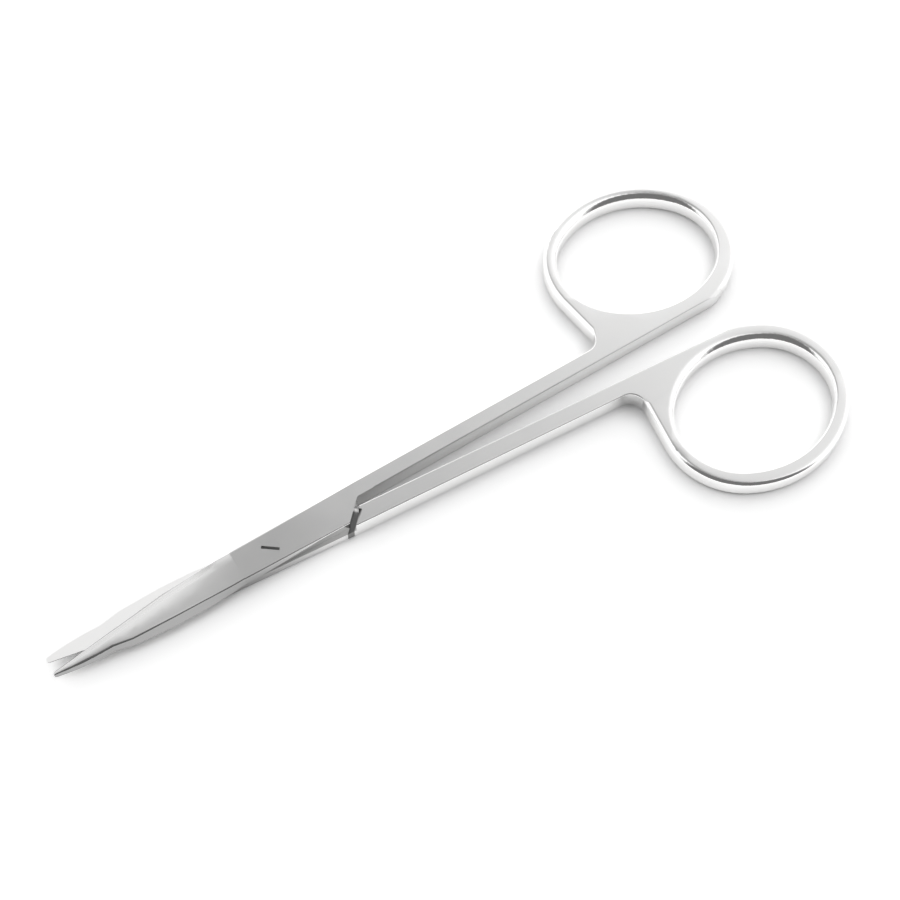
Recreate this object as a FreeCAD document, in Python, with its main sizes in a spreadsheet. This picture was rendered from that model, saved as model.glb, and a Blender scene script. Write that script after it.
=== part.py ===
# Fine dissecting scissors, 11.5 cm: two identical forged halves that cross in a lap joint,
# turned over onto each other and held by one slotted screw. Millimetres, +Z up.
# Each half is drawn in its own frame: pivot axis at the origin, blade towards -X, shank towards +X,
# finger ring on the +Y side, outer face up at z = thickness.
import FreeCAD
import Part
import math
import os
import Sketcher

doc = FreeCAD.newDocument("dissecting_scissors")

# Driving dimensions
SIZES = [
    # The pair
    ("thickness", 3.0, "height of shanks and rings over the table"),
    ("lap_clearance", 0.02, "gap between the two inner faces"),
    ("rest_opening", 3.68, "angle between the two halves as they lie, degrees"),
    # Shank
    ("shank_side_lap", 2.65, "ring-side edge of the shank where it leaves the lap"),
    ("shank_side_ring", 2.70, "ring-side edge of the shank at the neck"),
    ("upper_inner_lap", 0.40, "inner edge of the upper shank at the lap"),
    ("lower_inner_lap", 0.00, "inner edge of the lower shank at the lap"),
    ("inner_ring", 0.48, "inner edge of both shanks beside the ring"),
    ("edge_break", 0.20, "rounding of the long edges"),
    # Lap
    ("lap_reach", 13.47, "shoulder of the lap plate on the blade axis"),
    ("shoulder_angle", 45.0, "slant of the shoulders to the blade axis, degrees"),
    ("shoulder_gap", 0.60, "free space in front of the plate's shoulder when closed"),
    ("stop_gap", 0.06, "what the closing stop leaves free when closed"),
    ("stop_width", 0.55, "length of the closing stop along the shoulder"),
    ("back_at_lap", 2.54, "back edge of the plate at its shoulder, from the pivot"),
    ("lap_corner", 0.50, "fillet where the plate's shoulder meets the shank"),
    # Ring
    ("ring_along", 69.8, "ring centre along the shank"),
    ("ring_long", 14.35, "outer oval, half its long axis"),
    ("ring_short", 12.5, "outer oval, half its short axis"),
    ("ring_pointing", 1.0, "by how much the radius of the oval's ends is under its short half"),
    ("ring_tilt", -12.0, "turn of the outer oval, degrees"),
    ("ring_ground", 0.66, "what the ground flat takes off the ring's side"),
    ("ring_relief", 0.01, "how far the flat on the ring stays behind the shank's inner face"),
    ("band_at_ends", 2.20, "ring's band at the ends of the long axis"),
    ("band_at_sides", 2.35, "ring's band at its sides"),
    ("hole_pointing", 1.15, "as ring_pointing, for the finger hole"),
    ("hole_back", 0.10, "finger hole nearer the pivot than the ring, along the shank"),
    ("hole_aside", 0.30, "finger hole farther to the side than the ring"),
    ("hole_turn", 2.0, "turn of the finger hole from the outer oval, degrees"),
    ("ring_round", 0.70, "rounding of the ring's outer edges"),
    ("hole_round_wide", 1.15, "rounding of the finger hole where it is widest"),
    ("hole_round_narrow", 0.30, "rounding of the finger hole where it is narrowest"),
    ("neck_lean", 5.5, "lean of the ring's outer side where it comes down to the shank, degrees"),
    ("neck_fillet", 2.20, "concave fillet between shank and ring"),
    ("neck_sweep", 68.0, "how far that fillet turns before the ring's rounding starts, degrees"),
    # Screw
    ("head_radius", 1.25, "screw head"),
    ("head_height", 0.45, "upright part of the screw head"),
    ("head_taper", 0.40, "height of the cone under the head"),
    ("thread_radius", 0.85, "screw under its head"),
    ("running_fit", 0.015, "radial gap between screw and upper half"),
    ("slot_width", 0.42, "screwdriver slot, milled right across the head"),
    ("slot_depth", 0.55, "depth of that slot"),
    ("slot_angle", -36.0, "turn of the slot from the long axis, degrees"),
]

# Cross-sections of the blade, from the lap to the tip: distance from the pivot, cutting edge and back
# from the blade axis, slope of the back, height of the back, its rounding, upright land at the edge
STATIONS = {
    "root": (5.0, 2.38, 2.20, 0.03, 1.49, 0.20, 1.25),
    "plate": (7.0, 2.40, 2.38, 0.15, 1.49, 0.20, 1.22),
    "hollow": (11.0, 2.41, 2.60, 0.40, 1.48, 0.20, 0.72),
    "grind": (15.6, 2.42, 2.54, 0.45, 1.45, 0.22, 0.14),
    "step": (21.6, 1.64, 2.06, 0.30, 1.33, 0.30, 0.12),
    "slim": (24.4, 1.26, 1.38, 0.22, 1.19, 0.38, 0.12),
    "point": (28.6, 0.70, 1.16, 0.25, 0.96, 0.40, 0.12),
    "tip": (32.3, 0.22, 0.58, 0.25, 0.66, 0.20, 0.12),
    "nose": (32.6, 0.08, 0.42, 0.15, 0.44, 0.14, 0.12),
}
COLUMNS = ("at", "edge", "back", "slope", "rise", "round", "land")
for station, numbers in STATIONS.items():
    for column, number in zip(COLUMNS, numbers):
        SIZES.append(("%s_%s" % (station, column), number, "blade at its %s: %s" % (station, column)))

sheet = doc.addObject("Spreadsheet::Sheet", "dims")
for row, (alias, number, meaning) in enumerate(SIZES, start=1):
    sheet.set("A%d" % row, meaning)
    sheet.set("B%d" % row, str(number))
    sheet.setAlias("B%d" % row, alias)
doc.recompute()


class Size:
    """A length that knows its value and the expression that gives it."""

    def __init__(self, value, text):
        self.value = float(value)
        self.text = text

    @staticmethod
    def of(other):
        return other if isinstance(other, Size) else Size(other, repr(float(other)))

    def joined(self, other, sign, value):
        return Size(value, "(%s %s %s)" % (self.text, sign, other.text))

    def __add__(self, other):
        other = Size.of(other)
        return self.joined(other, "+", self.value + other.value)

    def __sub__(self, other):
        other = Size.of(other)
        return self.joined(other, "-", self.value - other.value)

    def __mul__(self, other):
        other = Size.of(other)
        return self.joined(other, "*", self.value * other.value)

    def __truediv__(self, other):
        other = Size.of(other)
        return self.joined(other, "/", self.value / other.value)

    def __radd__(self, other):
        return Size.of(other) + self

    def __rsub__(self, other):
        return Size.of(other) - self

    def __rmul__(self, other):
        return Size.of(other) * self

    def __neg__(self):
        return Size(-self.value, "(0 - %s)" % self.text)


def size(alias):
    return Size(sheet.get(alias), "dims." + alias)


def cos_of(angle):
    return Size(math.cos(math.radians(angle.value)), "cos(%s)" % angle.text)


def sin_of(angle):
    return Size(math.sin(math.radians(angle.value)), "sin(%s)" % angle.text)


def tan_of(angle):
    return Size(math.tan(math.radians(angle.value)), "tan(%s)" % angle.text)


def atan_of(ratio):
    return Size(math.degrees(math.atan(ratio.value)), "atan(%s)" % ratio.text)


def root_of(number):
    return Size(math.sqrt(number.value), "sqrt(%s)" % number.text)


def between(start, end, along):
    """The point of the line from start to end at the place along X."""
    share = (along - start[0]) / (end[0] - start[0])
    return along, start[1] + (end[1] - start[1]) * share


# Sketch helpers
def bind(sketch, index, length):
    sketch.setExpression("Constraints[%d]" % index, length.text)


def new_sketch(body, name, role, offset=None):
    sketch = body.newObject("Sketcher::SketchObject", name)
    plane = [f for f in body.Origin.OriginFeatures if f.Role == role][0]
    sketch.AttachmentSupport = [(plane, "")]
    sketch.MapMode = "FlatFace"
    if offset is not None:
        sketch.AttachmentOffset.Base.z = offset.value
        sketch.setExpression("AttachmentOffset.Base.z", offset.text)
    return sketch


def arc_through(start, end, radius, left):
    """A circular arc from start to end; its centre lies to the left of the way when left is true."""
    chord = end - start
    half = chord.Length / 2
    reach = math.sqrt(max(radius ** 2 - half ** 2, 0.0))
    side = FreeCAD.Vector(-chord.y, chord.x, 0).normalize()
    centre = (start + end) * 0.5 + side * (reach if left else -reach)
    from_centre = [math.atan2(p.y - centre.y, p.x - centre.x) for p in (start, end)]
    first, last = from_centre if left else reversed(from_centre)
    return Part.ArcOfCircle(Part.Circle(centre, FreeCAD.Vector(0, 0, 1), radius), first, last)


def outline(sketch, corners, arcs=None):
    """A closed outline. arcs gives, for a side's number, its radius and whether it turns left."""
    arcs = arcs or {}
    points = [FreeCAD.Vector(x.value, y.value, 0) for x, y in corners]
    count = len(points)
    ends = []
    for number in range(count):
        start, end = points[number], points[(number + 1) % count]
        if number in arcs:
            radius, left = arcs[number]
            geometry = sketch.addGeometry(arc_through(start, end, radius.value, left), False)
            ends.append((geometry, 1, 2) if left else (geometry, 2, 1))
        else:
            geometry = sketch.addGeometry(Part.LineSegment(start, end), False)
            ends.append((geometry, 1, 2))
    for number in range(count):
        geometry, _, end = ends[number]
        following, start, _ = ends[(number + 1) % count]
        sketch.addConstraint(Sketcher.Constraint("Coincident", geometry, end, following, start))
    for number, (x, y) in enumerate(corners):
        geometry, start, _ = ends[number]
        index = sketch.addConstraint(Sketcher.Constraint("DistanceX", -1, 1, geometry, start, x.value))
        bind(sketch, index, x)
        index = sketch.addConstraint(Sketcher.Constraint("DistanceY", -1, 1, geometry, start, y.value))
        bind(sketch, index, y)
    for number, (radius, _) in arcs.items():
        index = sketch.addConstraint(Sketcher.Constraint("Radius", ends[number][0], radius.value))
        bind(sketch, index, radius)


class Oval:
    """An oval drawn with four arcs that meet smoothly: two long sides and two ends."""

    def __init__(self, long_half, short_half, pointing, tilt):
        self.tilt = tilt
        self.long_half = long_half
        self.end_radius = short_half - pointing
        self.end_reach = long_half - self.end_radius
        squares = self.end_reach * self.end_reach + short_half * short_half - self.end_radius * self.end_radius
        self.side_radius = squares / (2 * pointing)
        self.side_reach = self.side_radius - short_half
        self.centre = (Size.of(0.0), Size.of(0.0))

    def point(self, along, across):
        """A point given along the oval's own long and short axes."""
        turn_cos, turn_sin = cos_of(self.tilt), sin_of(self.tilt)
        x = self.centre[0] + along * turn_cos - across * turn_sin
        y = self.centre[1] + along * turn_sin + across * turn_cos
        return x, y

    def meeting(self, along_sign, across_sign):
        """Where a long side meets an end."""
        stretch = self.side_radius - self.end_radius
        along = self.end_reach * self.side_radius / stretch
        across = self.side_reach * self.end_radius / stretch
        return self.point(along * along_sign, across * across_sign)

    def ends_from(self, angle):
        """The point of the left end whose radius points this many degrees under the -X axis."""
        middle = self.point(-self.end_reach, Size.of(0.0))
        x = middle[0] - self.end_radius * cos_of(angle)
        return x, middle[1] - self.end_radius * sin_of(angle)

    def lowest(self):
        middle = self.point(Size.of(0.0), self.side_reach)
        return middle[0], middle[1] - self.side_radius


def ring_oval():
    """The ring's outer oval. Its side reaches just past the shank's inner edge, where it is ground flat."""
    oval = Oval(size("ring_long"), size("ring_short"), size("ring_pointing"), size("ring_tilt"))
    aside = size("inner_ring") - size("ring_ground") - oval.lowest()[1]
    oval.centre = (size("ring_along"), aside)
    return oval


def hole_oval(ring):
    long_half = size("ring_long") - size("band_at_ends")
    short_half = size("ring_short") - size("band_at_sides")
    oval = Oval(long_half, short_half, size("hole_pointing"), ring.tilt + size("hole_turn"))
    oval.centre = (ring.centre[0] - size("hole_back"), ring.centre[1] + size("hole_aside"))
    return oval


def about_pivot(angle):
    return FreeCAD.Rotation(FreeCAD.Vector(0, 0, 1), angle)


def flat_edges(shape, height):
    """Names of the edges that lie in the level plane at this height."""
    names = []
    for number, edge in enumerate(shape.Edges, start=1):
        box = edge.BoundBox
        if abs(box.ZMin - height) < 1e-5 and abs(box.ZMax - height) < 1e-5:
            names.append("Edge%d" % number)
    return names


def long_edges(shape, height):
    """Of those, the ones that run along the shank, with the neck's concave curve."""
    names = []
    for name in flat_edges(shape, height):
        edge = shape.getElement(name)
        box = edge.BoundBox
        along = box.XLength > 2 * box.YLength and box.XLength > full.value
        neck = isinstance(edge.Curve, Part.Circle) and edge.Curve.Radius > sheet.get("lap_corner") * 2
        if along or neck:
            names.append(name)
    return names


# Values that several sketches share
full = size("thickness")
inner_face = (full + size("lap_clearance")) / 2
lap_height = full - inner_face
half_opening = size("rest_opening") / 2
slant = tan_of(size("shoulder_angle"))
across_shoulder = sin_of(size("shoulder_angle"))
lap_end = size("lap_reach") + 1.0
ring_edge_root = (-size("root_at"), size("root_edge"))
ring_edge_lap = (lap_end, size("shank_side_lap"))


def inner_edge(alias):
    """Both ends of a shank's inner edge, from the lap to beside the ring."""
    return (lap_end, size(alias)), (size("ring_along"), size("inner_ring"))


def neck_line_at(height):
    """The ring's outer side, a straight line that leans towards the ring on its way to the shank."""
    lean = size("neck_lean")
    start = ring_oval().ends_from(lean)
    return start[0] + (start[1] - height) * tan_of(lean)


def ring_body(name, inner_alias):
    """The finger ring with its neck: an oval band, well rounded, ground flat on the inner side."""
    body = doc.addObject("PartDesign::Body", name)
    ring = ring_oval()
    lowest = ring.lowest()
    outer = new_sketch(body, name + "_outer", "XY_Plane")
    outline(outer, [
        ring.meeting(1, -1),
        ring.meeting(1, 1),
        ring.meeting(-1, 1),
        ring.ends_from(size("neck_lean")),
        (neck_line_at(lowest[1]), lowest[1]),
        lowest,
    ], {0: (ring.end_radius, True), 1: (ring.side_radius, True), 2: (ring.end_radius, True),
        5: (ring.side_radius, True)})
    pad = body.newObject("PartDesign::Pad", name + "_disc")
    pad.Profile = outer
    pad.setExpression("Length", full.text)

    hole = hole_oval(ring)
    inner = new_sketch(body, name + "_hole", "XY_Plane")
    outline(inner, [hole.meeting(1, -1), hole.meeting(1, 1), hole.meeting(-1, 1), hole.meeting(-1, -1)], {
        0: (hole.end_radius, True), 1: (hole.side_radius, True), 2: (hole.end_radius, True),
        3: (hole.side_radius, True),
    })
    opening = body.newObject("PartDesign::Pocket", name + "_opening")
    opening.Profile = inner
    opening.Type = 1
    opening.Midplane = True
    doc.recompute()

    rounded = doc.addObject("Part::Fillet", name + "_rounded")
    rounded.Base = body
    rounded.Edges = ring_roundings(body.Shape)
    doc.recompute()

    # What the ground flat takes away, with a flare above and below that breaks the flat's edges
    removed = doc.addObject("PartDesign::Body", name + "_ground_away")
    grind = new_sketch(removed, name + "_flat", "YZ_Plane")
    flare = size("edge_break")
    beyond = size("ring_ground") + full
    outline(grind, [
        (Size.of(0.0), flare),
        (Size.of(0.0), full - flare),
        (flare, full),
        (flare, full + flare),
        (-beyond, full + flare),
        (-beyond, -flare),
        (flare, -flare),
        (flare, Size.of(0.0)),
    ], {1: (flare, False), 7: (flare, False)})
    block = removed.newObject("PartDesign::Pad", name + "_flat_block")
    block.Profile = grind
    block.Midplane = True
    block.setExpression("Length", (4 * ring.long_half).text)
    lap_side, ring_side = inner_edge(inner_alias)
    run = atan_of((ring_side[1] - lap_side[1]) / (ring_side[0] - lap_side[0]))
    side = ring_side[1] + size("ring_relief")
    removed.Placement = FreeCAD.Placement(
        FreeCAD.Vector(ring_side[0].value, side.value, 0), about_pivot(run.value))
    removed.setExpression("Placement.Base.x", ring_side[0].text)
    removed.setExpression("Placement.Base.y", side.text)
    removed.setExpression("Placement.Rotation.Angle", run.text)
    doc.recompute()
    ground = doc.addObject("Part::Cut", name + "_ground")
    ground.Base = rounded
    ground.Tool = removed
    doc.recompute()
    return ground


def ring_roundings(shape):
    """Edges to round, each with the radius at its two ends.

    The outer edges have one radius. The finger hole is dressed wide where the finger bears on it:
    away from the shank on the outer face, beside the shank on the inner face.
    """
    hole = hole_oval(ring_oval())
    wide, narrow = sheet.get("hole_round_wide"), sheet.get("hole_round_narrow")
    meetings = [hole.meeting(along, across) for along in (1, -1) for across in (1, -1)]
    heights = [y.value for _, y in meetings]
    roundings = []
    for name in flat_edges(shape, 0.0) + flat_edges(shape, full.value):
        edge = shape.getElement(name)
        ends = [edge.valueAt(edge.FirstParameter), edge.valueAt(edge.LastParameter)]
        nearest = [min(math.hypot(p.x - x.value, p.y - y.value) for x, y in meetings) for p in ends]
        radii = [sheet.get("ring_round")] * 2
        if max(nearest) < 1e-3:
            shares = [(p.y - min(heights)) / (max(heights) - min(heights)) for p in ends]
            if edge.BoundBox.ZMin < full.value / 2:
                shares = [1 - share for share in shares]
            radii = [narrow + (wide - narrow) * share for share in shares]
        roundings.append((int(name[4:]), radii[0], radii[1]))
    return roundings


def shank_body(name, inner_alias):
    """Shank at full thickness, and the lap plate above the inner face."""
    body = doc.addObject("PartDesign::Body", name)
    lap_side, ring_side = inner_edge(inner_alias)

    # The shoulder that faces the other half's plate, with the closing stop at its inner end
    plate_gap = size("shoulder_gap") / across_shoulder
    stop_gap = size("stop_gap") / across_shoulder
    shoulder_at = size("lap_reach") + plate_gap
    stop_at = size("lap_reach") + stop_gap
    outer_x = shoulder_at - size("shank_side_lap") * slant
    outer = between(ring_edge_root, ring_edge_lap, outer_x)
    stop_foot = (stop_at - size(inner_alias) * slant, size(inner_alias))
    stop_side = size(inner_alias) + size("stop_width") * cos_of(size("shoulder_angle"))
    stop_head = (stop_at - stop_side * slant, stop_side)
    step_side = stop_side + (shoulder_at - stop_at) * 0.5
    stop_back = (shoulder_at - step_side * slant, step_side)

    # The concave corner rolls up towards the ring, and the flat then narrows to the ring's rounding
    fillet, sweep = size("neck_fillet"), size("neck_sweep")
    neck_height = size("shank_side_ring") + fillet
    neck_start = neck_line_at(neck_height) - fillet / cos_of(size("neck_lean"))
    neck_end = (neck_start + fillet * sin_of(sweep), neck_height - fillet * cos_of(sweep))
    fade_height = neck_end[1] + size("ring_round") * 2.65
    fade_end = (neck_line_at(fade_height) + size("ring_round") / cos_of(size("neck_lean")), fade_height)
    ring_edge_neck = (neck_start, size("shank_side_ring"))
    ring = ring_oval()
    web_end = between(lap_side, ring_side, ring.point(-ring.end_reach, Size.of(0.0))[0] - 2.0)
    shank = new_sketch(body, name + "_outline", "XY_Plane")
    outline(shank, [
        stop_foot,
        web_end,
        fade_end,
        neck_end,
        ring_edge_neck,
        ring_edge_lap,
        outer,
        stop_back,
        stop_head,
    ], {3: (size("neck_fillet"), False)})
    bar = body.newObject("PartDesign::Pad", name + "_bar")
    bar.Profile = shank
    bar.setExpression("Length", full.text)

    # The plate: half as thick, as wide as the joint, with its slanted shoulder and rounded corner
    corner = size("lap_corner")
    meet = (size("lap_reach") + size(inner_alias), size(inner_alias))
    down = (meet[0] - corner * 0.35, meet[1] - corner * 0.35)
    past = between(lap_side, ring_side, meet[0] + corner * 0.5)
    back_lap = (size("lap_reach") - size("back_at_lap") * slant, -size("back_at_lap"))
    plate_end = between(ring_edge_lap, ring_edge_neck, lap_end + 2.0)
    plate_inner = between(lap_side, ring_side, lap_end + 2.0)
    plate = new_sketch(body, name + "_plate_outline", "XY_Plane", inner_face)
    outline(plate, [
        (-size("root_at"), -size("root_back")),
        back_lap,
        down,
        past,
        plate_inner,
        plate_end,
        ring_edge_lap,
        ring_edge_root,
    ], {2: (corner * 1.15, False)})
    lap = body.newObject("PartDesign::Pad", name + "_lap_plate")
    lap.Profile = plate
    lap.setExpression("Length", lap_height.text)
    doc.recompute()

    edges = long_edges(lap.Shape, full.value) + long_edges(lap.Shape, 0.0)
    broken = body.newObject("PartDesign::Fillet", name + "_edge_breaks")
    broken.Base = (lap, edges)
    broken.setExpression("Radius", "dims.edge_break")
    doc.recompute()
    return body


def blade_section(body, name, station):
    """One cross-section: flat inner face, upright land at the edge, crowned outer face, sloping back."""
    at, edge, back, slope, rise, rounding, land = (size("%s_%s" % (station, c)) for c in COLUMNS)
    crown_back = -back + slope * rise + rounding
    top = inner_face + rise
    span = edge - crown_back
    fall = rise - land
    flat_span, flat_fall = span * 0.70, fall * 0.30
    steep_span, steep_fall = span * 0.30, fall * 0.70
    flat_radius = (flat_span * flat_span + flat_fall * flat_fall) / (2 * flat_fall)
    turn = atan_of(steep_fall / steep_span) - 2 * atan_of(flat_fall / flat_span)
    chord = root_of(steep_span * steep_span + steep_fall * steep_fall)
    steep_radius = chord / (2 * sin_of(turn))
    sketch = new_sketch(body, name, "YZ_Plane", -at)
    outline(sketch, [
        (edge, inner_face),
        (edge, inner_face + land),
        (crown_back + flat_span, top - flat_fall),
        (crown_back, top),
        (-back + slope * (rise - rounding), top - rounding),
        (-back, inner_face),
    ], {1: (steep_radius, True), 2: (flat_radius, True), 3: (rounding * 1.05, True)})
    return sketch


def blade_body(name):
    """The blade: the plate runs out into the hollow grind, a short step, then the slim point."""
    body = doc.addObject("PartDesign::Body", name)
    lofts = {
        "grind": ("root", "plate", "hollow", "grind", "step"),
        "step": ("step", "slim"),
        "point": ("slim", "point", "tip"),
        "nose": ("tip", "nose"),
    }
    for loft_name, stations in lofts.items():
        label = "%s_%s" % (name, loft_name)
        sketches = [blade_section(body, "%s_at_%s" % (label, station), station) for station in stations]
        loft = body.newObject("PartDesign::AdditiveLoft", label)
        loft.Profile = sketches[0]
        loft.Sections = sketches[1:]
        loft.Ruled = loft_name != "point"
        doc.recompute()
    return body


def screw_profile(sketch, gap):
    """Half section of the screw, or of the space it turns in, from the underside to the top."""
    head_under = full - size("head_height")
    cone_end = head_under - size("head_taper")
    outline(sketch, [
        (Size(0.0, "0"), Size(0.0, "0")),
        (size("thread_radius") + gap, Size(0.0, "0")),
        (size("thread_radius") + gap, cone_end),
        (size("head_radius") + gap, head_under),
        (size("head_radius") + gap, full),
        (Size(0.0, "0"), full),
    ])


def half(name, inner_alias):
    """One forged half in its own frame, still without the pivot bore."""
    forging = doc.addObject("Part::MultiFuse", name + "_forging")
    forging.Shapes = [
        ring_body(name + "_ring", inner_alias),
        shank_body(name + "_shank", inner_alias),
        blade_body(name + "_blade"),
    ]
    forging.Refine = True
    doc.recompute()
    return forging


def turned(name, gap):
    """The screw's outline turned about its axis, with a gap around it."""
    body = doc.addObject("PartDesign::Body", name)
    half_section = new_sketch(body, name + "_section", "XZ_Plane")
    screw_profile(half_section, gap)
    revolution = body.newObject("PartDesign::Revolution", name + "_turned")
    revolution.Profile = half_section
    revolution.ReferenceAxis = (half_section, ["V_Axis"])
    revolution.Angle = 360.0
    doc.recompute()
    return body


def screw_body(name):
    """The screw: cylindrical head flush with the plate, short cone, thread flush with the underside."""
    body = turned(name, Size.of(0.0))
    slot = new_sketch(body, name + "_slot", "XY_Plane", full)
    reach = size("head_radius") + size("running_fit")
    half_width = size("slot_width") / 2
    outline(slot, [(-reach, -half_width), (reach, -half_width), (reach, half_width), (-reach, half_width)])
    cut = body.newObject("PartDesign::Pocket", name + "_slot_cut")
    cut.Profile = slot
    cut.setExpression("Length", "dims.slot_depth")
    doc.recompute()
    return body


def screw_space(name, gap):
    """What is bored out of a half for the screw, at the pivot."""
    body = turned(name, gap)
    body.Placement = FreeCAD.Placement(pivot_place, FreeCAD.Rotation())
    return body


def bored(label, forging, tool):
    cut = doc.addObject("Part::Cut", label)
    cut.Base = forging
    cut.Tool = tool
    doc.recompute()
    return cut


# The two halves: drawn alike, the lower one turned over about the long axis.
# The pair is centred over the origin and lies on the table, so the pivot's place comes from its reach.
upper_forging = half("upper", "upper_inner_lap")
lower_forging = half("lower", "lower_inner_lap")
turned_over = FreeCAD.Placement(FreeCAD.Vector(0, 0, full.value), FreeCAD.Rotation(FreeCAD.Vector(1, 0, 0), 180))
upper_forging.Placement = FreeCAD.Placement(FreeCAD.Vector(0, 0, 0), about_pivot(half_opening.value))
doc.recompute()
reach = upper_forging.Shape.optimalBoundingBox()
pivot_place = FreeCAD.Vector(-(reach.XMin + reach.XMax) / 2, 0, 0)
upper_forging.Placement = FreeCAD.Placement(pivot_place, about_pivot(half_opening.value))
spread = FreeCAD.Placement(pivot_place, about_pivot(-half_opening.value))
lower_forging.Placement = spread.multiply(turned_over)

# The screw turns in the upper half and is threaded into the lower one
pivot_screw = screw_body("screw")
pivot_screw.Placement = FreeCAD.Placement(pivot_place, about_pivot(sheet.get("slot_angle")))
upper_half = bored("upper_half", upper_forging, screw_space("screw_space", size("running_fit")))
lower_half = bored("lower_half", lower_forging, screw_space("thread_space", Size.of(0.0)))
finished = {"upper_half": upper_half, "lower_half": lower_half, "pivot_screw": pivot_screw}
for label, piece in finished.items():
    piece.Label = label
doc.recompute()

for item in doc.Objects:
    bad = [state for state in item.State if state in ("Invalid", "Error")]
    if bad:
        raise RuntimeError("%s did not build: %s" % (item.Label, bad))

os.makedirs("parts", exist_ok=True)
for label, piece in finished.items():
    shape = piece.Shape
    if shape.isNull() or not shape.isValid() or len(shape.Solids) != 1:
        raise RuntimeError("%s is not one valid solid" % label)
    shape.exportStep("parts/%s.step" % label)
    print(label, "volume %.1f mm3" % shape.Volume, "faces", len(shape.Faces), shape.BoundBox)
print("pivot at x = %.4f" % pivot_place.x)
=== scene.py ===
# %% [markdown]
# # Dissecting scissors: the looks
# A small pair of ground and polished steel scissors lies slightly open on white.
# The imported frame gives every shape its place, in metres, with the long axis along X and the table at z = 0.

# %% Load the frame
import math

import bmesh
import bpy
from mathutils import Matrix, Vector


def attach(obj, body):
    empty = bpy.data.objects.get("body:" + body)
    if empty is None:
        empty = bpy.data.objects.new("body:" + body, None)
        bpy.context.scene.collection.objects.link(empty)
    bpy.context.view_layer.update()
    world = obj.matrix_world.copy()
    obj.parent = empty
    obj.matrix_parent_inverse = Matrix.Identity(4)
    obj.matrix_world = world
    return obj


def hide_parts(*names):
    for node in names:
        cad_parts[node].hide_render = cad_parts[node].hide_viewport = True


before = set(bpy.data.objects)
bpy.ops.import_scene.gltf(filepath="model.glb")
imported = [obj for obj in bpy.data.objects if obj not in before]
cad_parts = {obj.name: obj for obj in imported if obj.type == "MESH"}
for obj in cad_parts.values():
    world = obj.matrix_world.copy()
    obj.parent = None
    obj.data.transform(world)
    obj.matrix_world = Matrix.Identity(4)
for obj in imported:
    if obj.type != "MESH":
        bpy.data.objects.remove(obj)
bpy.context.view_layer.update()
MM = 0.001

# %% [markdown]
# ## Shader maths
# A wrapper around one socket lets shader values be written as sums, so each finish reads as a recipe.
# Operators make Math nodes, and `node` makes any other kind: its settings come first, then its inputs.


# %% Sockets that can be added and multiplied
class Value:
    """A shader socket, or a constant, that arithmetic works on."""

    def __init__(self, tree, source):
        self.tree, self.source = tree, source

    def into(self, socket):
        if isinstance(self.source, bpy.types.NodeSocket):
            self.tree.links.new(self.source, socket)
        else:
            socket.default_value = self.source

    def math(self, operation, *others):
        made = self.tree.nodes.new("ShaderNodeMath")
        made.operation = operation
        for socket, item in zip(made.inputs, (self,) + others):
            as_value(self.tree, item).into(socket)
        return Value(self.tree, made.outputs[0])

    def __add__(self, other):
        return self.math("ADD", other)

    def __sub__(self, other):
        return self.math("SUBTRACT", other)

    def __mul__(self, other):
        return self.math("MULTIPLY", other)

    def __truediv__(self, other):
        return self.math("DIVIDE", other)

    def __radd__(self, other):
        return self + other

    def __rmul__(self, other):
        return self * other

    def __rsub__(self, other):
        return as_value(self.tree, other) - self

    def step(self, low, high):
        """0 below low, 1 above high, smooth between them."""
        made = self.tree.nodes.new("ShaderNodeMapRange")
        made.interpolation_type = "SMOOTHSTEP"
        self.into(made.inputs["Value"])
        made.inputs["From Min"].default_value = low
        made.inputs["From Max"].default_value = high
        return Value(self.tree, made.outputs["Result"])


def as_value(tree, item):
    return item if isinstance(item, Value) else Value(tree, item)


# %% Nodes of one material or of the world
class Nodes:
    """Makes nodes in one tree and hands back their outputs as values."""

    def __init__(self, tree):
        self.tree = tree
        tree.nodes.clear()

    def node(self, kind, settings=None, **inputs):
        made = self.tree.nodes.new(kind)
        for name, setting in (settings or {}).items():
            setattr(made, name, setting)
        for name, item in inputs.items():
            as_value(self.tree, item).into(made.inputs[name.replace("_", " ")])
        return made

    def out(self, made, name):
        return Value(self.tree, made.outputs[name])

    def parts(self, vector):
        made = self.node("ShaderNodeSeparateXYZ", Vector=vector)
        return [self.out(made, axis) for axis in "XYZ"]

    def vectors(self, operation, first, second, result="Vector"):
        made = self.node("ShaderNodeVectorMath", {"operation": operation})
        for socket, item in zip(made.inputs, (first, second)):
            as_value(self.tree, item).into(socket)
        return self.out(made, result)

    def stretched(self, vector, scale):
        return self.vectors("MULTIPLY", vector, scale)

    def noise(self, vector, scale, detail):
        made = self.node("ShaderNodeTexNoise", Vector=vector, Scale=scale, Detail=detail)
        return self.out(made, "Fac")

    def mixed(self, factor, first, second):
        made = self.node("ShaderNodeMix", {"data_type": "RGBA"})
        as_value(self.tree, factor).into(made.inputs["Factor"])
        for socket, colour in ((made.inputs[6], first), (made.inputs[7], second)):
            as_value(self.tree, colour).into(socket)
        return Value(self.tree, made.outputs[2])


def grey(level):
    return (level, level, level, 1.0)
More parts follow.
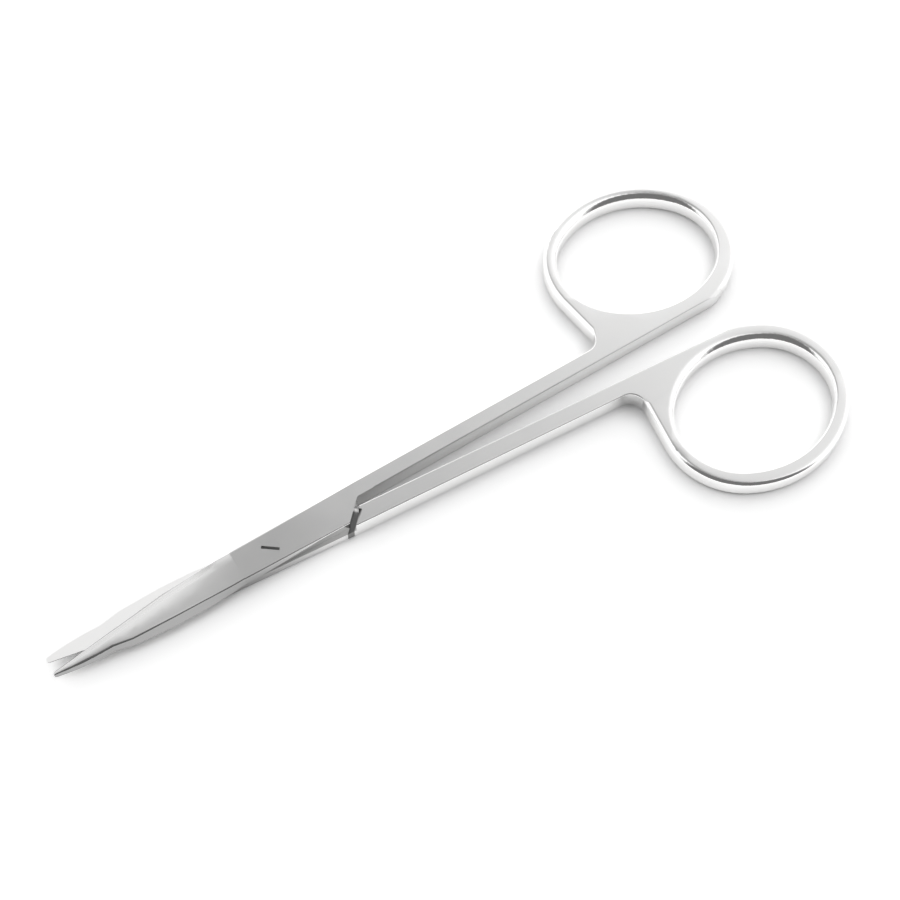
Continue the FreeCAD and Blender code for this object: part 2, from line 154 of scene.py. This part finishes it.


# %% [markdown]
# ## Where the finishes and the painted light lie
# The steel's finish and its painted light and shade change over each half, and every change follows the shape:
# how far a face slants, how high it lies, and where it is along the scissors. Each function gives a share, 1
# inside its place and
# 0 outside. A pair of numbers says where a share starts to rise and where it is full.

# %% Places on the scissors
HALF_THICKNESS = 1.5 * MM
PIVOT = Vector((-0.0255427, 0.0, 0.0))
BLADE_ROOT = -31.0 * MM
LAP_END = -13.0 * MM
PIVOT_SHADE_REACH = (3.5 * MM, 10.0 * MM)
INNER_WALL_REACH = (3.4 * MM, 4.2 * MM)
FACES_AWAY = (-0.6 * MM, -0.2 * MM)
OFF_INNER_FACE = (0.02 * MM, 0.06 * MM)
SLOT_FLOOR = (2.0 * MM, 2.2 * MM)
UNDER_TOP = (2.75 * MM, 2.90 * MM)


def away_from_pivot(make, place):
    """All that lies outside the painted shade around the screw."""
    level_place = make.stretched(place, (1.0, 1.0, 0.0))
    return make.vectors("DISTANCE", level_place, PIVOT, "Value").step(*PIVOT_SHADE_REACH)


def inner_wall(facing, aside):
    """The shanks' upright walls that face each other."""
    faces_middle = 1.0 - (facing[1] * aside).step(*FACES_AWAY)
    return faces_middle * (1.0 - aside.math("ABSOLUTE").step(*INNER_WALL_REACH))


def inner_face(from_tips, height):
    """The blades' flat inner faces, half the thickness over the table."""
    off_middle = (height - HALF_THICKNESS).math("ABSOLUTE").step(*OFF_INNER_FACE)
    return (1.0 - off_middle) * (1.0 - from_tips.step(BLADE_ROOT, BLADE_ROOT + 1.0 * MM))


def slot_floor(level, height):
    """What is level and lies sunk a little under the top."""
    return level * height.step(*SLOT_FLOOR) * (1.0 - height.step(*UNDER_TOP))


def blade_share(from_tips):
    """The blades, and less and less of the lap."""
    return 1.0 - from_tips.step(BLADE_ROOT - 3.0 * MM, LAP_END)


# %% The gap at the shoulder
SHOULDER = Vector((-0.01169, 0.00084, 0.0))
SHOULDER_FACES = Vector((0.730, -0.683, 0.0))
SHOULDER_RUNS = Vector((0.683, 0.730, 0.0))
GAP_STARTS = (-0.15 * MM, -0.05 * MM)
GAP_ENDS = (0.60 * MM, 0.75 * MM)
GAP_INNER_END = (-1.8 * MM, -1.4 * MM)


def shoulder_gap(make, place):
    """The narrow outer part of the gap at the shoulder, where painted shade darkens the steel."""
    from_shoulder = make.vectors("SUBTRACT", place, SHOULDER)
    across = make.vectors("DOT_PRODUCT", from_shoulder, SHOULDER_FACES, "Value")
    along = make.vectors("DOT_PRODUCT", from_shoulder, SHOULDER_RUNS, "Value")
    height = make.parts(place)[2]
    between = across.step(*GAP_STARTS) * (1.0 - across.step(*GAP_ENDS))
    return between * (1.0 - along.step(*GAP_INNER_END)) * (1.0 - height.step(*UNDER_TOP))


# %% [markdown]
# ## Steel
# Three finishes lie on the same metal. The outer faces are ground along the instrument to a satin shine.
# The rounded edges are buffed, so they mirror the room. The inner faces, where the blades pass each other,
# keep their coarse grinding and scatter the light almost evenly.
# The tone, which is how much light the metal returns, carries painted light and shade. A painted sheen
# lightens the inner faces and a painted highlight the roundings off the blades.
# Painted shade darkens the blades' sides and crowned backs, the gap at the shoulder, the slot's floor and the
# lap around the screw.

# %% Roughness of the finishes
SATIN_ROUGH = 0.30
POLISHED_ROUGH = 0.12
GROUND_ROUGH = 0.55
GRAIN_ROUGH = 0.06
CLOUD_ROUGH = 0.05


def roughness(level, inner, wall, grain, cloud):
    rough = POLISHED_ROUGH + level * (SATIN_ROUGH - POLISHED_ROUGH)
    rough = rough + level * inner * (GROUND_ROUGH - SATIN_ROUGH)
    rough = rough + wall * (SATIN_ROUGH - POLISHED_ROUGH)
    return rough + (grain - 0.5) * GRAIN_ROUGH + (cloud - 0.5) * CLOUD_ROUGH


# %% Tone of the finishes
PIVOT_SHADE_TONE = 0.90
INNER_SHEEN_GAIN = 0.32
EDGE_HIGHLIGHT_GAIN = 0.24
CROWN_SHADE = 0.18
ROOT_SHADE = 0.30
SIDE_SHADE = 0.32
GAP_SHADE = 0.75
CROWNED = (0.94, 0.995)
UPRIGHT = (0.55, 0.85)
ROOT = (BLADE_ROOT - 7.0 * MM, BLADE_ROOT - 0.5 * MM)


def painted_blade_shade(from_tips, levelness):
    """Painted shade on the crowned backs, more so beside the root, and on the upright sides."""
    upright = 1.0 - levelness.step(*UPRIGHT)
    at_root = from_tips.step(*ROOT) * (1.0 - upright)
    crowned = 1.0 - levelness.step(*CROWNED)
    loss = crowned * (CROWN_SHADE + at_root * ROOT_SHADE) + upright * SIDE_SHADE
    return blade_share(from_tips) * loss


def tone_of(make, place, levelness, level, inner, wall):
    from_tips = make.parts(place)[0]
    # Painted highlight: the roundings away from the blades get a lighter tone.
    highlighted_edges = (1.0 - level) * (1.0 - wall) * (1.0 - blade_share(from_tips))
    # Painted shade: the tone is darker around the screw.
    tone = PIVOT_SHADE_TONE + away_from_pivot(make, place) * (1.0 - PIVOT_SHADE_TONE)
    # Painted sheen lightens the inner faces, and painted highlight lightens the roundings off the blades.
    tone = tone * (1.0 + level * inner * INNER_SHEEN_GAIN) * (1.0 + highlighted_edges * EDGE_HIGHLIGHT_GAIN)
    # Painted shade on the blades' sides and crowned backs.
    tone = tone * (1.0 - painted_blade_shade(from_tips, levelness))
    # Painted shade in the narrow gap at the shoulder.
    return tone * (1.0 - shoulder_gap(make, place) * GAP_SHADE)


# %% Steel material
STEEL = 0.74
LEVEL = (0.90, 0.985)
GRAIN_SCALE = (400.0, 9000.0, 9000.0)
CLOUD_SCALE = 260.0
NOISE_DETAIL = 3.0
GRAIN_BUMP = 0.05
GRAIN_DEPTH = 0.02 * MM


def steel(name, painted_slot_shade=0.0):
    material = bpy.data.materials.new(name)
    material.use_nodes = True
    make = Nodes(material.node_tree)
    coordinates = make.node("ShaderNodeTexCoord")
    place = make.out(coordinates, "Object")
    facing = make.parts(make.out(coordinates, "Normal"))
    from_tips, aside, height = make.parts(place)
    levelness = facing[2].math("ABSOLUTE")
    level = levelness.step(*LEVEL)
    inner = inner_face(from_tips, height)
    wall = inner_wall(facing, aside)
    grain = make.noise(make.stretched(place, GRAIN_SCALE), 1.0, NOISE_DETAIL)
    cloud = make.noise(place, CLOUD_SCALE, NOISE_DETAIL)

    tone = tone_of(make, place, levelness, level, inner, wall)
    # Painted shade on the floor of the screw's slot.
    tone = tone * (1.0 - slot_floor(level, height) * painted_slot_shade)
    colour = make.mixed(cloud, grey(STEEL * 0.98), (STEEL, STEEL * 0.995, STEEL * 0.985, 1.0))
    bump = make.node("ShaderNodeBump", Strength=GRAIN_BUMP, Distance=GRAIN_DEPTH, Height=grain)
    surface = make.node(
        "ShaderNodeBsdfPrincipled", Base_Color=make.stretched(colour, tone), Metallic=1.0,
        Roughness=roughness(level, inner, wall, grain, cloud), Normal=make.out(bump, "Normal"),
    )
    make.node("ShaderNodeOutputMaterial", Surface=make.out(surface, "BSDF"))
    return material


half_steel = steel("satin_and_polished_steel")
screw_steel = steel("screw_steel", painted_slot_shade=0.25)
print("materials:", half_steel.name, screw_steel.name)

# %% [markdown]
# ## The halves and their screw
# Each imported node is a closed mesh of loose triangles. A joined copy with smooth normals carries the
# reflections: the wide flats keep their own normals and the narrow roundings turn smoothly between them.
# The screw is ground flush into its bore, so its head is carried out to the bore's rim and no ring shows.

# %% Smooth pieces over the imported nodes
CREASE = math.radians(28)
SAME_POINT = 1e-7
FLATS_WEIGHT = 80
BORE_RADIUS = 1.2645 * MM


def widen_head(shape, radius):
    """Carry the rim of the screw's head out to a radius around the pivot."""
    for corner in shape.verts:
        spoke = Vector((corner.co.x - PIVOT.x, corner.co.y, 0.0))
        if corner.co.z > HALF_THICKNESS and spoke.length > 0.9 * radius:
            corner.co += spoke.normalized() * (radius - spoke.length)


def smooth_piece(name, node, body, material, head_radius=None):
    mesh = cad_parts[node].data.copy()
    mesh.name = name
    shape = bmesh.new()
    shape.from_mesh(mesh)
    bmesh.ops.remove_doubles(shape, verts=shape.verts, dist=SAME_POINT)
    if head_radius:
        widen_head(shape, head_radius)
    for face in shape.faces:
        face.smooth = True
    for edge in shape.edges:
        edge.smooth = len(edge.link_faces) == 2 and edge.calc_face_angle(0.0) < CREASE
    shape.to_mesh(mesh)
    shape.free()
    piece = bpy.data.objects.new(name, mesh)
    bpy.context.collection.objects.link(piece)
    mesh.materials.clear()
    mesh.materials.append(material)
    normals = piece.modifiers.new("flats_keep_their_normals", "WEIGHTED_NORMAL")
    normals.keep_sharp = True
    normals.weight = FLATS_WEIGHT
    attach(piece, body)
    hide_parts(node)
    print(name, "faces:", len(mesh.polygons))


smooth_piece("upper_scissor_half", "upper_half", "upper", half_steel)
smooth_piece("lower_scissor_half", "lower_half", "lower", half_steel)
smooth_piece("slotted_screw", "pivot_screw", "lower", screw_steel, BORE_RADIUS)

# %% [markdown]
# ## The white table
# The table is pure white away from the object. Part of that white is a glow of its own, which only the camera
# and the mirroring steel see, so it puts no light on the object. The glow fades where the object stands close
# over the table, and so the object keeps its narrow soft shadow.

# %% Table
TABLE_WHITE = 0.93
TABLE_ROUGH = 0.6
TABLE_HALF_SIZE = 3.0
CAMERA_GLOW = 0.36
MIRRORED_GLOW = 0.50
SHADE_REACH = 4.0 * MM
OPEN_SHARE = (0.35, 0.80)

table_material = bpy.data.materials.new("white_table")
table_material.use_nodes = True
make = Nodes(table_material.node_tree)
path = make.node("ShaderNodeLightPath")
mirrored = (make.out(path, "Is Glossy Ray") + make.out(path, "Is Transmission Ray")).math("MINIMUM", 1.0)
open_above = make.out(make.node("ShaderNodeAmbientOcclusion", {"samples": 8}, Distance=SHADE_REACH), "AO")
glow = make.out(path, "Is Camera Ray") * CAMERA_GLOW + mirrored * MIRRORED_GLOW
surface = make.node(
    "ShaderNodeBsdfPrincipled", Base_Color=grey(TABLE_WHITE), Roughness=TABLE_ROUGH,
    Emission_Color=glow * open_above.step(*OPEN_SHARE), Emission_Strength=1.0,
)
make.node("ShaderNodeOutputMaterial", Surface=make.out(surface, "BSDF"))

table_mesh = bpy.data.meshes.new("table")
shape = bmesh.new()
bmesh.ops.create_grid(shape, x_segments=2, y_segments=2, size=TABLE_HALF_SIZE)
shape.to_mesh(table_mesh)
shape.free()
table_mesh.materials.append(table_material)
table = bpy.data.objects.new("table", table_mesh)
bpy.context.collection.objects.link(table)
print("table:", table.name)

# %% [markdown]
# ## Camera
# The camera looks down steeply from the front left of the scissors, with the tips towards the lower left.

# %% Camera
LOOK_AT = Vector((3.742, 1.97, 0.0)) * MM
EYE = Vector((-54.898, -96.72, 209.96)) * MM
camera_data = bpy.data.cameras.new("camera")
camera_data.sensor_width = 36.0
camera_data.lens = 68.0
camera_data.clip_start = 0.01
camera = bpy.data.objects.new("camera", camera_data)
camera.location = EYE
camera.rotation_euler = (LOOK_AT - EYE).to_track_quat("-Z", "Y").to_euler()
bpy.context.collection.objects.link(camera)
bpy.context.scene.camera = camera
print("camera:", round((EYE - LOOK_AT).length, 3), "m away")

# %% [markdown]
# ## Light
# The object lay in a white tent: a grey ceiling, a bright back wall turned a little to one side, two bright
# side walls, and a dark opening towards the camera. The world repeats them by direction, so the level faces
# mirror the ceiling, the rings' roundings the walls, and the near roundings the dark opening.
# Directions are told by three parts of the unit vector: towards the camera's side, to its right, and back.

# %% World
DARK = 0.18
CEILING = 0.42
BACK = 1.75
LEFT = 1.20
RIGHT = 1.35
BACK_TURN = math.radians(14)
BACK_STARTS = (0.46, 0.68)
LEFT_STARTS = (0.26, 0.60)
RIGHT_STARTS = (0.09, 0.31)
OPENING_WIDTH = (0.28, 0.55)
OPENING_STARTS = (0.06, 0.32)


def blend(first, share, second):
    return first + share * (second - first)


towards = (EYE - LOOK_AT).normalized()
front = Vector((towards.x, towards.y, 0.0)).normalized()
right = Vector((-front.y, front.x, 0.0))
world = bpy.data.worlds.new("white_tent")
world.use_nodes = True
bpy.context.scene.world = world
make = Nodes(world.node_tree)
across, along = make.parts(make.out(make.node("ShaderNodeTexCoord"), "Generated"))[:2]
forward = across * front.x + along * front.y
aside = across * right.x + along * right.y
back = aside * math.sin(BACK_TURN) - forward * math.cos(BACK_TURN)
level_reach = (forward * forward + aside * aside).math("SQRT").math("MAXIMUM", 0.001)
opening = (forward / level_reach).step(*OPENING_WIDTH) * forward.step(*OPENING_STARTS)

brightness = blend(CEILING, back.step(*BACK_STARTS), BACK)
brightness = blend(brightness, (0.0 - aside).step(*LEFT_STARTS), LEFT)
brightness = blend(brightness, aside.step(*RIGHT_STARTS), RIGHT)
brightness = blend(brightness, opening, DARK)
background = make.node("ShaderNodeBackground", Color=grey(1.0), Strength=brightness)
make.node("ShaderNodeOutputWorld", Surface=make.out(background, "Background"))
print("world:", world.name)

# %% View settings
bpy.context.scene.view_settings.view_transform = "Standard"
